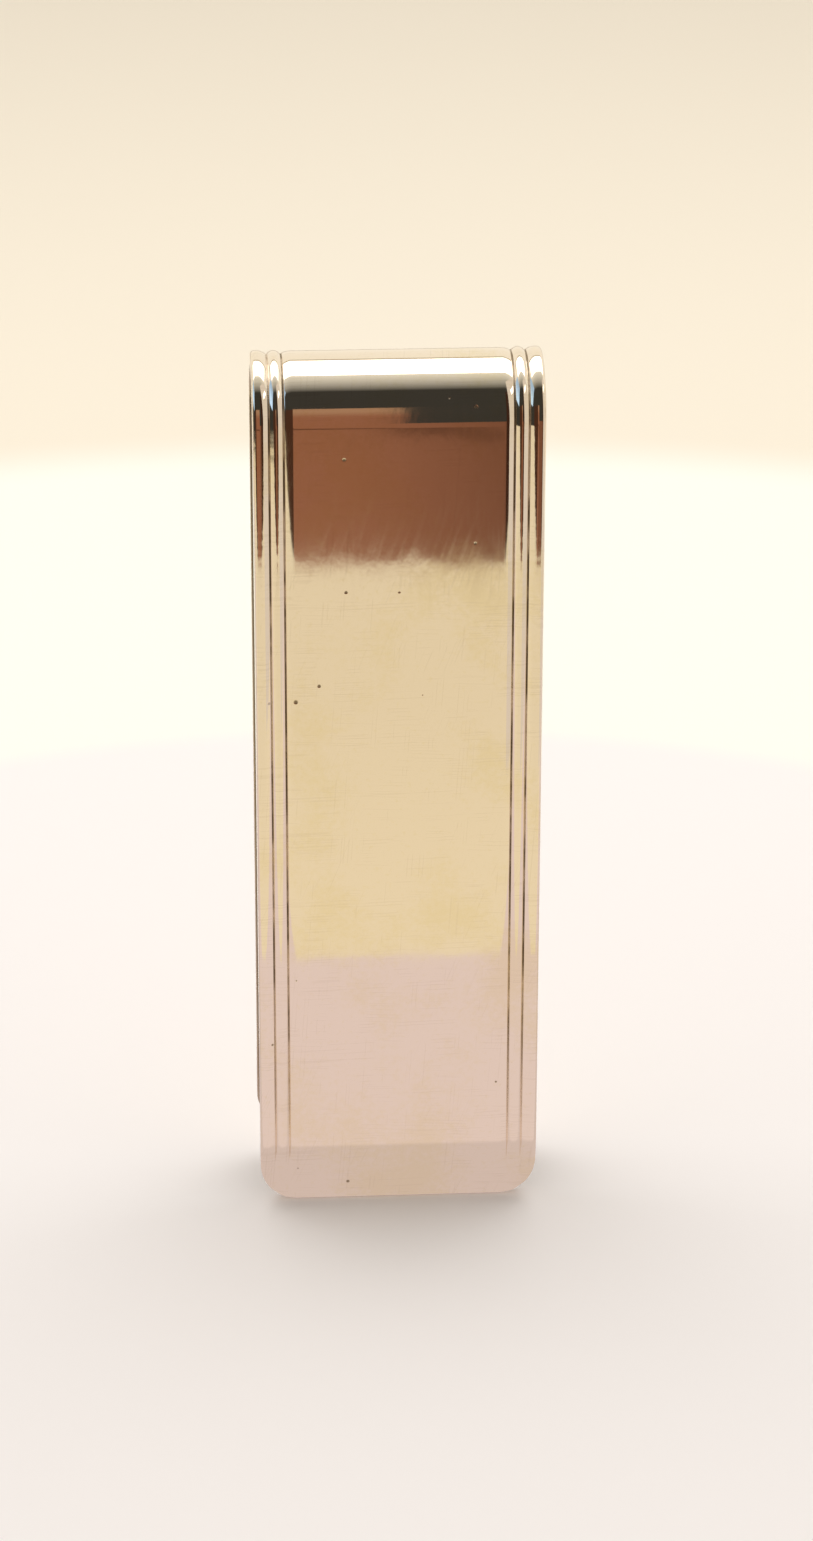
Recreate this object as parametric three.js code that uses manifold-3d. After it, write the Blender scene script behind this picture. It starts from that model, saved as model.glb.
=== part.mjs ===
// Money clip folded from one strip of reeded silver: a long front leaf, a spring bend over
// the top and a shorter back leaf. Folded banknotes sit in the gap between the two leaves.
//
// Millimetres, +Z up. The origin is on the bend's centre line, midway across the strip.
// Both leaves hang down from it: the front leaf on the -Y side, the back leaf on the +Y side.

import * as THREE from 'three';
import { mergeVertices } from 'three/addons/utils/BufferGeometryUtils.js';
import Module from 'manifold-3d';

const wasm = await Module();
wasm.setup();

// The strip
const STRIP_WIDTH = 18.0;
const STRIP_THICKNESS = 0.9;
const EDGE_ROUND = 0.25; // radius on the strip's four long edges

// The fold
const BEND_OUTER_RADIUS = 3.75;
const FLEX_GAP = 0.3; // clearance where a leaf meets the bend, on the line it flexes about
const BEND_STEPS = 30;

// The front leaf, from the bend's centre line down to its tip
const FRONT_LEAF_LENGTH = 53.25;
const LIP_LENGTH = 4.45; // last stretch of the front leaf, creased in towards the notes
const LIP_ANGLE = THREE.MathUtils.degToRad(11);
const CREASE_INNER_RADIUS = 1.6;
const CREASE_STEPS = 5;
const FRONT_CORNER_WIDTH = 2.3;
const FRONT_CORNER_HEIGHT = 2.8;

// The back leaf
const BACK_TIP_RISE = 2.5; // how far the back tip stops short of the front tip
const FLARE_LENGTH = 6.0; // last stretch of the back leaf, curled out to let notes slide in
const FLARE_RADIUS = 26.0;
const FLARE_STEPS = 8;
const BACK_CORNER_WIDTH = 2.2;
const BACK_CORNER_HEIGHT = 2.2;

// The reeding: two rounded reeds along each side of the outer face, each with a groove inside it
const EDGE_TO_GROOVE = 1.0; // strip's edge to the outer groove's middle
const GROOVE_PITCH = 0.9; // outer groove's middle to the inner groove's middle
const GROOVE_WIDTH = 0.12;
const GROOVE_DEPTH = 0.2; // below the panel's face
const GROOVE_LIP_DEPTH = 0.12; // groove's lips, below the panel's face
const REED_RISE = 0.05; // reeds' crowns, above the panel's face
const OUTER_CROWN = 0.42; // strip's edge to where the outer reed starts to fall to its groove
const PANEL_SHOULDER = 0.6; // width of the rounding where the panel falls to its groove
const ROUNDING_STEPS = 4;

const SAME_POINT = 1e-5; // points nearer than this are one point

// A rounded fall from a crown's top down to the lip of the groove beside it.
function fall(topX, lipX, topHeight) {
  const points = [];
  for (let i = 0; i <= ROUNDING_STEPS; i++) {
    const share = i / ROUNDING_STEPS;
    points.push(new THREE.Vector2(
      THREE.MathUtils.lerp(topX, lipX, share),
      topHeight - (topHeight + GROOVE_LIP_DEPTH) * share ** 2,
    ));
  }
  return points;
}

// A long edge of the strip, as a quarter circle from one angle to another.
function roundedEdge(centreX, centreH, fromAngle, toAngle) {
  const points = [];
  for (let i = 0; i <= ROUNDING_STEPS; i++) {
    const angle = THREE.MathUtils.lerp(fromAngle, toAngle, i / ROUNDING_STEPS);
    points.push(new THREE.Vector2(
      centreX + EDGE_ROUND * Math.cos(angle),
      centreH + EDGE_ROUND * Math.sin(angle),
    ));
  }
  return points;
}

// The strip cut straight across: x runs across its width and height 0 is the panel's outer
// face, so the face on the notes' side is at -STRIP_THICKNESS. Points run anticlockwise.
function stripSection() {
  const edge = STRIP_WIDTH / 2;
  const outerGroove = edge - EDGE_TO_GROOVE;
  const innerGroove = outerGroove - GROOVE_PITCH;
  const halfGroove = GROOVE_WIDTH / 2;
  const innerReed = (outerGroove + innerGroove) / 2;
  const panelEdge = innerGroove - halfGroove;
  const roundX = edge - EDGE_ROUND;
  const right = [
    ...fall(panelEdge - PANEL_SHOULDER, panelEdge, 0),
    new THREE.Vector2(innerGroove, -GROOVE_DEPTH),
    ...fall(innerReed, innerGroove + halfGroove, REED_RISE).reverse(),
    ...fall(innerReed, outerGroove - halfGroove, REED_RISE),
    new THREE.Vector2(outerGroove, -GROOVE_DEPTH),
    ...fall(edge - OUTER_CROWN, outerGroove + halfGroove, REED_RISE).reverse(),
    ...roundedEdge(roundX, REED_RISE - EDGE_ROUND, Math.PI / 2, 0),
    ...roundedEdge(roundX, EDGE_ROUND - STRIP_THICKNESS, 0, -Math.PI / 2),
  ];
  const left = right.map(({ x, y }) => new THREE.Vector2(-x, y)).reverse();
  const points = [...left, ...right];
  const apart = (point, i) => point.distanceTo(points[(i + 1) % points.length]) > SAME_POINT;
  return points.filter(apart).reverse();
}

// A station is a place on the strip's outer face. Facing is the direction that the face looks
// in, as an angle in the YZ plane from +Y towards +Z.
function station(y, z, facing) {
  return { y, z, facing };
}

// Stations round an arc of the outer face. The centre is a radius behind the face where the
// strip curls towards the notes, and in front of it (side -1) where it curls away.
function arcStations(centreY, centreZ, radius, side, fromFacing, toFacing, steps) {
  const stations = [];
  for (let i = 0; i <= steps; i++) {
    const facing = THREE.MathUtils.lerp(fromFacing, toFacing, i / steps);
    stations.push(station(
      centreY + side * radius * Math.cos(facing),
      centreZ + side * radius * Math.sin(facing),
      facing,
    ));
  }
  return stations;
}

// The last station carried straight on by a length, down a leaf whose outer face looks along
// facing. Down is +90 degrees from facing on the front leaf and -90 on the back leaf.
function carriedOn(last, length, quarterTurn) {
  const heading = last.facing + quarterTurn;
  return station(
    last.y + length * Math.cos(heading),
    last.z + length * Math.sin(heading),
    last.facing,
  );
}

// The section run through the stations and closed at both ends.
function sweptStrip(stations) {
  const section = stripSection();
  const across = section.length;
  const positions = [];
  for (const { y, z, facing } of stations) {
    for (const { x, y: height } of section) {
      positions.push(x, y + height * Math.cos(facing), z + height * Math.sin(facing));
    }
  }
  const indices = [];
  for (let ring = 0; ring + 1 < stations.length; ring++) {
    for (let i = 0; i < across; i++) {
      const a = ring * across + i;
      const b = ring * across + (i + 1) % across;
      indices.push(a, a + across, b, b, a + across, b + across);
    }
  }
  const lastRing = (stations.length - 1) * across;
  for (const [a, b, c] of THREE.ShapeUtils.triangulateShape(section, [])) {
    indices.push(a, b, c);
    indices.push(lastRing + a, lastRing + c, lastRing + b);
  }
  const geometry = new THREE.BufferGeometry();
  geometry.setAttribute('position', new THREE.Float32BufferAttribute(positions, 3));
  geometry.setIndex(indices);
  return facingOut(geometry);
}

// The same surface with its triangles turned to face out, if they face in.
function facingOut(geometry) {
  const position = geometry.getAttribute('position');
  const index = geometry.getIndex();
  const corner = () => new THREE.Vector3();
  const [a, b, c] = [corner(), corner(), corner()];
  let volume = 0;
  for (let i = 0; i < index.count; i += 3) {
    a.fromBufferAttribute(position, index.getX(i));
    b.fromBufferAttribute(position, index.getX(i + 1));
    c.fromBufferAttribute(position, index.getX(i + 2));
    volume += a.dot(b.cross(c)) / 6;
  }
  if (volume < 0) {
    index.array.reverse();
  }
  return geometry;
}

// A front view outline with two rounded lower corners, as a block deep enough to hold a leaf.
function tipBlock(tipZ, cornerWidth, cornerHeight) {
  const right = STRIP_WIDTH / 2;
  const depth = 4 * BEND_OUTER_RADIUS;
  const outline = new THREE.Shape();
  outline.moveTo(right, 0);
  outline.lineTo(-right, 0);
  outline.lineTo(-right, tipZ + cornerHeight);
  outline.absellipse(
    -right + cornerWidth, tipZ + cornerHeight, cornerWidth, cornerHeight, Math.PI, 1.5 * Math.PI, false,
  );
  outline.lineTo(right - cornerWidth, tipZ);
  outline.absellipse(
    right - cornerWidth, tipZ + cornerHeight, cornerWidth, cornerHeight, 1.5 * Math.PI, 2 * Math.PI, false,
  );
  const block = new THREE.ExtrudeGeometry(outline, { depth, bevelEnabled: false, curveSegments: 10 });
  block.rotateX(Math.PI / 2);
  block.translate(0, depth / 2, 0);
  return block;
}

function solidOf(geometry) {
  const bare = geometry.clone();
  bare.deleteAttribute('normal');
  bare.deleteAttribute('uv');
  const merged = mergeVertices(bare, SAME_POINT);
  return new wasm.Manifold(new wasm.Mesh({
    numProp: 3,
    vertProperties: new Float32Array(merged.getAttribute('position').array),
    triVerts: new Uint32Array(merged.getIndex().array),
  }));
}

function geometryOf(solid) {
  const { vertProperties, triVerts } = solid.getMesh();
  const geometry = new THREE.BufferGeometry();
  geometry.setAttribute('position', new THREE.BufferAttribute(vertProperties, 3));
  geometry.setIndex(new THREE.BufferAttribute(triVerts, 1));
  geometry.computeVertexNormals();
  return geometry;
}

// A leaf's strip, trimmed to its tip and rounded corners.
function trimmedLeaf(stations, tipZ, cornerWidth, cornerHeight) {
  const strip = solidOf(sweptStrip(stations));
  const block = solidOf(tipBlock(tipZ, cornerWidth, cornerHeight));
  return geometryOf(strip.intersect(block));
}

const FACING_FRONT = Math.PI;
const FACING_BACK = 0;
const TRIM_ALLOWANCE = 1.0; // extra strip beyond a tip, which the trimming takes off

function frontLeaf() {
  const tipZ = -FRONT_LEAF_LENGTH;
  const creaseZ = tipZ + LIP_LENGTH;
  const creaseRadius = CREASE_INNER_RADIUS + STRIP_THICKNESS;
  const crease = arcStations(
    -BEND_OUTER_RADIUS + creaseRadius, creaseZ, creaseRadius, 1,
    FACING_FRONT, FACING_FRONT + LIP_ANGLE, CREASE_STEPS,
  );
  const lipEnd = carriedOn(crease.at(-1), LIP_LENGTH + TRIM_ALLOWANCE, Math.PI / 2);
  const top = station(-BEND_OUTER_RADIUS, -FLEX_GAP, FACING_FRONT);
  const stations = [top, ...crease, lipEnd];
  return trimmedLeaf(stations, tipZ, FRONT_CORNER_WIDTH, FRONT_CORNER_HEIGHT);
}

function springBend() {
  return sweptStrip(arcStations(
    0, 0, BEND_OUTER_RADIUS, 1, FACING_FRONT, FACING_BACK, BEND_STEPS,
  ));
}

function backLeaf() {
  const tipZ = -FRONT_LEAF_LENGTH + BACK_TIP_RISE;
  const flareZ = tipZ + FLARE_LENGTH;
  const flareAngle = Math.asin(FLARE_LENGTH / FLARE_RADIUS);
  const flare = arcStations(
    BEND_OUTER_RADIUS + FLARE_RADIUS, flareZ, FLARE_RADIUS, -1,
    FACING_BACK, FACING_BACK + flareAngle, FLARE_STEPS,
  );
  const flareEnd = carriedOn(flare.at(-1), TRIM_ALLOWANCE, -Math.PI / 2);
  const top = station(BEND_OUTER_RADIUS, -FLEX_GAP, FACING_BACK);
  const stations = [top, ...flare, flareEnd];
  return trimmedLeaf(stations, tipZ, BACK_CORNER_WIDTH, BACK_CORNER_HEIGHT);
}

function piece(name, geometry, color, roughness) {
  const material = new THREE.MeshStandardMaterial({ color, roughness, metalness: 1.0 });
  const mesh = new THREE.Mesh(geometry, material);
  mesh.name = name;
  return mesh;
}

const POLISHED_SILVER = 0xd9d0bf;
const HANDLED_SILVER = 0xc9bfab;

const moneyClip = new THREE.Group();
moneyClip.add(piece('front_leaf', frontLeaf(), POLISHED_SILVER, 0.12));
moneyClip.add(piece('spring_bend', springBend(), POLISHED_SILVER, 0.1));
moneyClip.add(piece('back_leaf', backLeaf(), HANDLED_SILVER, 0.2));

export default moneyClip;
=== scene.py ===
"""A folded silver money clip with a reeded border, dressed for rendering around its CAD frame.

The clip is one strip of silver in three stretches: a front leaf, a spring bend and a back leaf.
Each stretch is made flat, as a height above the strip's face, and is then laid along its path.
"""

import math

import bpy
import numpy as np
from mathutils import Matrix, Vector


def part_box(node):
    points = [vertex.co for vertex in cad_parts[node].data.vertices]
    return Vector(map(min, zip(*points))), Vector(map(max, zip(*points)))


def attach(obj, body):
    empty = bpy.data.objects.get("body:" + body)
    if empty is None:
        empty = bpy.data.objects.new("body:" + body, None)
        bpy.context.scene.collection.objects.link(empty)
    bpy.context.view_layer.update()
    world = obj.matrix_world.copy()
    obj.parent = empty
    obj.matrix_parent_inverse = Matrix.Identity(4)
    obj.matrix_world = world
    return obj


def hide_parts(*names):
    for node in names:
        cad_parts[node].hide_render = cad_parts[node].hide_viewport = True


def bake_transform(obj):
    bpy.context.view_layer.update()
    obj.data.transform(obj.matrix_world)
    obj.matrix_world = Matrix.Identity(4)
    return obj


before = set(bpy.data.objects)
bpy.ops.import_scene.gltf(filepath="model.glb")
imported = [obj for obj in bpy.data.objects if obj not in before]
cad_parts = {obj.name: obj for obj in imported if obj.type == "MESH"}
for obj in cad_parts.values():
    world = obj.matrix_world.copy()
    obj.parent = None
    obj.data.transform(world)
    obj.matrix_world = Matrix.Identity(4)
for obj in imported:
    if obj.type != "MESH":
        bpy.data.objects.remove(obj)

bl_info = {
    "name": "Reeded Money Clip",
    "version": (1, 0, 0),
    "blender": (4, 5, 0),
    "location": "3D Viewport > Sidebar > Money Clip",
    "description": "Builds a folded, reeded silver money clip and the stage that it stands on",
    "category": "Object",
}

MM = 0.001
FRONT_SIDE, BACK_SIDE = -1, 1

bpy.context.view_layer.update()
FRONT_LOW, FRONT_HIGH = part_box("front_leaf")
_, BEND_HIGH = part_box("spring_bend")
BACK_LOW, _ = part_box("back_leaf")


# ---------------------------------------------------------------- sizes and colours


def length(name, description, default):
    """A length setting in metres."""
    return bpy.props.FloatProperty(
        name=name, description=description, default=default, min=0.0,
        unit="LENGTH", subtype="DISTANCE", precision=5,
    )


def angle(name, description, degrees):
    """An angle setting, given in degrees and kept in radians."""
    return bpy.props.FloatProperty(
        name=name, description=description, default=math.radians(degrees), subtype="ANGLE",
    )


def share(name, description, default):
    """A setting between nothing and all."""
    return bpy.props.FloatProperty(
        name=name, description=description, default=default, min=0.0, max=1.0, subtype="FACTOR",
    )


def strength(name, description, default):
    """A lamp's or a lit card's brightness."""
    return bpy.props.FloatProperty(name=name, description=description, default=default, min=0.0)


def colour(name, description, default):
    """A linear colour setting."""
    return bpy.props.FloatVectorProperty(
        name=name, description=description, default=default, size=3, min=0.0, max=1.0,
        subtype="COLOR",
    )


REED_RISE = 0.05 * MM


class ClipSizes(bpy.types.PropertyGroup):
    """The clip's shape."""

    strip_width: length("Strip width", "Width of the strip", FRONT_HIGH.x - FRONT_LOW.x)
    reed_rise: length("Reed rise", "Height of the reeds' crowns above the panel", REED_RISE)
    bend_radius: length("Bend radius", "Outer radius of the bend", BEND_HIGH.z - REED_RISE)
    thickness: length(
        "Thickness", "Thickness of the strip", BEND_HIGH.z - REED_RISE - BACK_LOW.y
    )
    front_length: length("Front leaf", "Bend's centre line to the front tip", -FRONT_LOW.z)
    back_length: length("Back leaf", "Bend's centre line to the back tip", -BACK_LOW.z)
    lip_length: length("Lip length", "Height of the creased lip on the front tip", 4.45 * MM)
    lip_angle: angle("Lip angle", "Lean of the lip towards the notes", 11.0)
    crease_radius: length("Crease radius", "Outer radius of the lip's crease", 2.5 * MM)
    flare_length: length("Flare length", "Height of the back tip's outward curl", 6.0 * MM)
    flare_radius: length("Flare radius", "Radius of the back tip's curl", 26.0 * MM)
    front_corner_width: length("Front corner width", "Front tip's corner, across", 2.3 * MM)
    front_corner_height: length("Front corner height", "Front tip's corner, up", 2.8 * MM)
    back_corner: length("Back corner", "Radius of the back tip's corners", 2.2 * MM)
    edge_to_groove: length("Edge to groove", "Strip's edge to the outer groove", 1.0 * MM)
    groove_pitch: length("Groove pitch", "Outer groove to inner groove", 0.9 * MM)
    groove_width: length("Groove width", "Width of a groove between its lips", 0.12 * MM)
    groove_depth: length("Groove depth", "Groove's floor below the panel", 0.2 * MM)
    groove_lip: length("Groove lip", "Groove's lips below the panel", 0.12 * MM)
    outer_crown: length("Outer crown", "Strip's edge to the outer reed's inner fall", 0.42 * MM)
    panel_shoulder: length("Shoulder", "Rounding of the panel into its groove", 0.6 * MM)
    reeding_fade: length("Reeding fade", "Stretch over which the reeding dies at a tip", 9.0 * MM)
    faded: share("Faded", "How much of the reeding is left at a tip", 0.3)
    outer_round: length("Outer edge", "Rounding of the edge on the outer face", 0.25 * MM)
    inner_round: length("Inner edge", "Rounding of the edge on the notes' side", 0.06 * MM)
    flex_blend: length("Flex length", "Stretch of a leaf that flexes at the bend", 3.0 * MM)


class SilverFinish(bpy.types.PropertyGroup):
    """The silver's colour, polish and wear."""

    silver: colour("Silver", "Colour of clean silver", (0.86, 0.765, 0.66))
    scratch: colour("Scratch", "Colour of the fine scratches", (0.6, 0.5, 0.4))
    inner_silver: colour("Inner silver", "Duller silver on the notes' side", (0.52, 0.44, 0.34))
    tarnish: colour("Tarnish", "Colour of the straw-coloured tarnish", (0.78, 0.66, 0.36))
    grime: colour("Grime", "Colour of old polish left in the grooves", (0.16, 0.11, 0.045))
    roughness: share("Roughness", "Roughness of a freshly polished face", 0.05)
    scratches: share("Scratches", "Strength of the fine scratches", 0.12)
    streaks: share("Streaks", "Strength of the polishing cloth's streaks", 0.6)
    tarnish_amount: share("Tarnish amount", "How much of the face is tarnished", 0.35)
    pitting: share("Pitting", "Strength of the small pits", 0.8)


class StudioSettings(bpy.types.PropertyGroup):
    """The floor, the light and the camera."""

    floor_near: colour("Floor, near", "Floor round the clip", (0.95, 0.90, 0.88))
    floor_middle: colour("Floor, middle", "Floor past the round mat", (0.97, 0.97, 0.88))
    floor_far: colour("Floor, far", "Floor far from the clip", (0.93, 0.84, 0.70))
    softbox: strength("Softbox", "Brightness of the overhead softbox", 1.9)
    softbox_height: length("Softbox height", "Softbox above the bend", 300 * MM)
    surround: strength("Surround", "Brightness of the pale room in the metal", 1.05)
    fill: strength("Fill", "Brightness of the soft light from all round", 0.66)
    pink_tone: colour("Pink cloth", "Cloth round the clip, as the metal shows it", (0.86, 0.73, 0.70))
    cream_tone: colour("Cream cloth", "Cloth before it, as the metal shows it", (0.94, 0.83, 0.60))
    brown_tone: colour("Brown screen", "Screen before the clip", (0.32, 0.135, 0.075))
    # Painted highlight: the lighter top of the brown screen.
    lit_top_tone: colour("Lit top of brown screen", "Painted highlight along the top of the brown screen", (0.42, 0.24, 0.14))
    dark_tone: colour("Dark screen", "Unlit room before the clip", (0.045, 0.042, 0.035))
    window_tone: colour("Window", "Daylight from the left", (0.50, 0.72, 1.0))
    wall_tone: colour("Side wall", "Pale wall to the right", (0.80, 0.72, 0.62))
    lamp_tone: colour("Lamp", "Small lamp to the right", (1.0, 0.97, 0.90))
    cloth_edge: length("Pink cloth's edge", "How far the pink cloth reaches forward", 42.1 * MM)
    table_edge: length("Table's edge", "How far the cream cloth reaches forward", 126 * MM)
    table_side: length("Table's side", "How far the table reaches sideways", 143.5 * MM)
    camera_azimuth: angle("Camera azimuth", "Camera's turn round the clip", -3.56)
    camera_elevation: angle("Camera elevation", "Camera's height above the horizon", 22.6)
    camera_roll: angle("Camera roll", "Camera's lean", 0.12)
    camera_distance: length("Camera distance", "Camera to aim point", 289.2 * MM)
    aim_right: length("Aim right", "Aim point to the right of the clip's middle", 0.69 * MM)
    aim_height: length("Aim height", "Aim point above the front tip", 29.08 * MM)
    lens: bpy.props.FloatProperty(
        name="Lens", description="Focal length on a 36 mm sensor", default=105.8, subtype="NONE",
    )


# ---------------------------------------------------------------- the strip's section


FALL_POWER, GROOVE_POWER = 2.0, 1.2  # 2 is a rounded fall, near 1 is a V with a soft bottom


def reeded_zones(sizes):
    """The curved zones of the outer face, left to right.

    Each is (from x, to x, x of its level place, half width, height lost by the half width,
    height of the level place, power).
    """
    edge = sizes.strip_width / 2
    half = sizes.groove_width / 2
    lip = sizes.groove_lip
    outer_groove = edge - sizes.edge_to_groove
    inner_groove = outer_groove - sizes.groove_pitch
    inner_reed = (outer_groove + inner_groove) / 2

    def fall(top_x, lip_x, top):
        return top_x, lip_x, top_x, lip_x - top_x, top + lip, top, FALL_POWER

    def groove(centre):
        rise = lip - sizes.groove_depth
        return centre - half, centre + half, centre, half, rise, -sizes.groove_depth, GROOVE_POWER

    panel_edge = inner_groove - half
    right_side = [
        fall(panel_edge - sizes.panel_shoulder, panel_edge, 0.0),
        groove(inner_groove),
        fall(inner_reed, inner_groove + half, sizes.reed_rise),
        fall(inner_reed, outer_groove - half, sizes.reed_rise),
        groove(outer_groove),
        fall(edge - sizes.outer_crown, outer_groove + half, sizes.reed_rise),
        (edge - sizes.outer_crown, edge, edge, sizes.outer_crown, 0.0, sizes.reed_rise, FALL_POWER),
    ]
    zones = []
    for start, end, middle, half_width, rise, level, power in right_side:
        low, high = min(start, end), max(start, end)
        zones.append((low, high, middle, abs(half_width), rise, level, power))
        zones.insert(0, (-high, -low, -middle, abs(half_width), rise, level, power))
    return zones


def section_height(sizes, x):
    """Height and slope of the outer face at each x, before the edges are rounded."""
    height, slope = np.zeros_like(x), np.zeros_like(x)
    for start, end, middle, half, rise, level, power in reeded_zones(sizes):
        inside = (x >= start) & (x <= end)
        q = (x[inside] - middle) / half
        height[inside] = level - rise * np.abs(q) ** power
        slope[inside] = -rise * power * np.abs(q) ** (power - 1) * np.sign(q) / half
    return height, slope


def section_columns(sizes):
    """The x of each lengthwise line of vertices: close over the reeds, wide over the panel."""
    steps, panel_columns = 10, 18
    zones = reeded_zones(sizes)
    xs = [np.linspace(zone[0], zone[1], steps + 1) for zone in zones]
    flat = max(zone[1] for zone in zones if zone[1] < 0)
    xs.append(np.linspace(flat, -flat, panel_columns))
    return np.unique(np.round(np.concatenate(xs), 9))


def reeding_left(sizes, up):
    """How much of the reeding is left at a distance from a tip, and how fast that changes."""
    t = np.clip(up / sizes.reeding_fade, 0, 1)
    lost = 1 - sizes.faded
    return sizes.faded + lost * t * t * (3 - 2 * t), lost * 6 * t * (1 - t) / sizes.reeding_fade


# ---------------------------------------------------------------- the strip's outline


class Outline:
    """The flat strip's edge near a tip. Up is the distance from the tip along the strip."""

    STEPS = 900

    def __init__(self, half_width, corner_width, corner_height):
        self.half_width = half_width
        self.corner_width, self.corner_height = corner_width, corner_height
        flat = half_width - corner_width
        turn = np.linspace(0, math.pi / 2, self.STEPS)
        tip_x = np.linspace(0, flat, self.STEPS)
        side_up = np.linspace(corner_height, 3 * corner_height, self.STEPS)
        inward = np.stack([-np.sin(turn) / corner_width, np.cos(turn) / corner_height], 1)
        inward /= np.linalg.norm(inward, axis=1)[:, None]
        self.points = np.concatenate([
            np.stack([tip_x, 0 * tip_x], 1),
            np.stack([
                flat + corner_width * np.sin(turn), corner_height * (1 - np.cos(turn))
            ], 1),
            np.stack([0 * side_up + half_width, side_up], 1),
        ])
        self.inward = np.concatenate([
            np.tile((0.0, 1.0), (self.STEPS, 1)), inward, np.tile((-1.0, 0.0), (self.STEPS, 1)),
        ])

    def half_width_at(self, up):
        """Half the strip's width at a distance from the tip."""
        rest = np.clip(1 - up / self.corner_height, 0, 1)
        return self.half_width - self.corner_width * (1 - np.sqrt(1 - rest * rest))

    def nearest(self, x, up):
        """Distance from each point to the edge, and the way in from the edge there."""
        distance = self.half_width - np.abs(x)
        inward = np.stack([-np.sign(x), np.zeros_like(x)], -1)
        near = np.flatnonzero(up < 2 * self.corner_height)
        for i in np.array_split(near, max(1, len(near) // 500)):
            gap = np.hypot(
                np.abs(x[i])[:, None] - self.points[:, 0], up[i][:, None] - self.points[:, 1]
            )
            best = gap.argmin(1)
            distance[i] = gap[np.arange(len(i)), best]
            inward[i] = self.inward[best] * np.stack([np.sign(x[i]), np.ones(len(i))], -1)
        return np.maximum(distance, 0), inward


STEEPEST = 0.9995  # how near a rounded edge's end its slope is read


def rounded_drop(distance, radius):
    """How far a rounded edge lies below its face, and its slope, at a distance from the edge."""
    left = np.clip(radius - distance, 0, radius)
    drop = radius - np.sqrt(radius * radius - left * left)
    left = np.minimum(left, STEEPEST * radius)
    return drop, left / np.sqrt(radius * radius - left * left)


# ---------------------------------------------------------------- the strip's path


def leaf_path(sizes, side, along, straight, radius, turn):
    """Places on a leaf's outer face, by distance down from the bend.

    Returns y, z, the face's outward direction and the way up, the last two in the YZ plane.
    Both tips turn towards +Y: the front lip towards the notes, the back flare away from them.
    """
    turned = np.clip(along - straight, 0, radius * turn) / radius
    beyond = np.maximum(along - straight - radius * turn, 0)
    y = side * sizes.bend_radius + radius * (1 - np.cos(turned)) + beyond * math.sin(turn)
    z = -np.minimum(along, straight) - radius * np.sin(turned) - beyond * math.cos(turn)
    out = side * np.stack([np.cos(turned), np.sin(turned)], -1)
    up_way = np.stack([-np.sin(turned), np.cos(turned)], -1)
    return y, z, out, up_way


def bend_path(sizes, along):
    """Places on the bend's outer face, by distance from the front leaf, over the top."""
    turned = along / sizes.bend_radius
    y, z = -sizes.bend_radius * np.cos(turned), sizes.bend_radius * np.sin(turned)
    out = np.stack([-np.cos(turned), np.sin(turned)], -1)
    onward = np.stack([np.sin(turned), np.cos(turned)], -1)
    return y, z, out, onward


# ---------------------------------------------------------------- the mesh

EDGE_STEPS = np.array([0, 0.012, 0.035, 0.07, 0.12, 0.18, 0.26]) * MM
CLOSEST_ROWS = 0.004 * MM
SAME_POINT = 1e-4 * MM


def strip_grid(sizes, outline, up):
    """x of every vertex in rows across the strip. Rows are at the distances up from the tip."""
    reach = EDGE_STEPS[-1]
    columns = section_columns(sizes)
    rows = []
    for half in outline.half_width_at(up):
        middle = np.clip(columns, -half + reach, half - reach)
        rows.append(np.concatenate([-half + EDGE_STEPS, middle, half - EDGE_STEPS[::-1]]))
    return np.array(rows)


def face_of_strip(sizes, outline, x, up, inner):
    """Height and flat-space normal (across, up the strip, out) of one face of the strip."""
    shape = x.shape
    x, up = x.ravel(), up.ravel()
    distance, inward = outline.nearest(x, up)
    radius = sizes.inner_round if inner else sizes.outer_round
    drop, steepness = rounded_drop(distance, radius)
    if inner:
        height = -sizes.thickness + drop
        normal = np.stack([-steepness * inward[:, 0], -steepness * inward[:, 1]], -1)
        normal = np.concatenate([normal, -np.ones((len(x), 1))], 1)
    else:
        height, slope = section_height(sizes, x)
        left, change = reeding_left(sizes, up)
        across = slope * left + steepness * inward[:, 0]
        lengthwise = height * change + steepness * inward[:, 1]
        normal = np.stack([-across, -lengthwise, np.ones(len(x))], -1)
        height = height * left - drop
    normal /= np.linalg.norm(normal, axis=1)[:, None]
    return height.reshape(shape), normal.reshape(*shape, 3)


def laid_on_path(path, x, height, normal):
    """Points and normals of a flat face once it is laid on its path."""
    y, z, out, up_way = path
    points = np.stack([
        x, y[:, None] + height * out[:, :1], z[:, None] + height * out[:, 1:]
    ], -1)
    turned = np.stack([
        normal[..., 0],
        normal[..., 1] * up_way[:, :1] + normal[..., 2] * out[:, :1],
        normal[..., 1] * up_way[:, 1:] + normal[..., 2] * out[:, 1:],
    ], -1)
    return points.reshape(-1, 3), turned.reshape(-1, 3)


def quads(first, second):
    """Faces between two rows of vertex numbers."""
    return np.stack([first[:-1], first[1:], second[1:], second[:-1]], -1)


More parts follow.
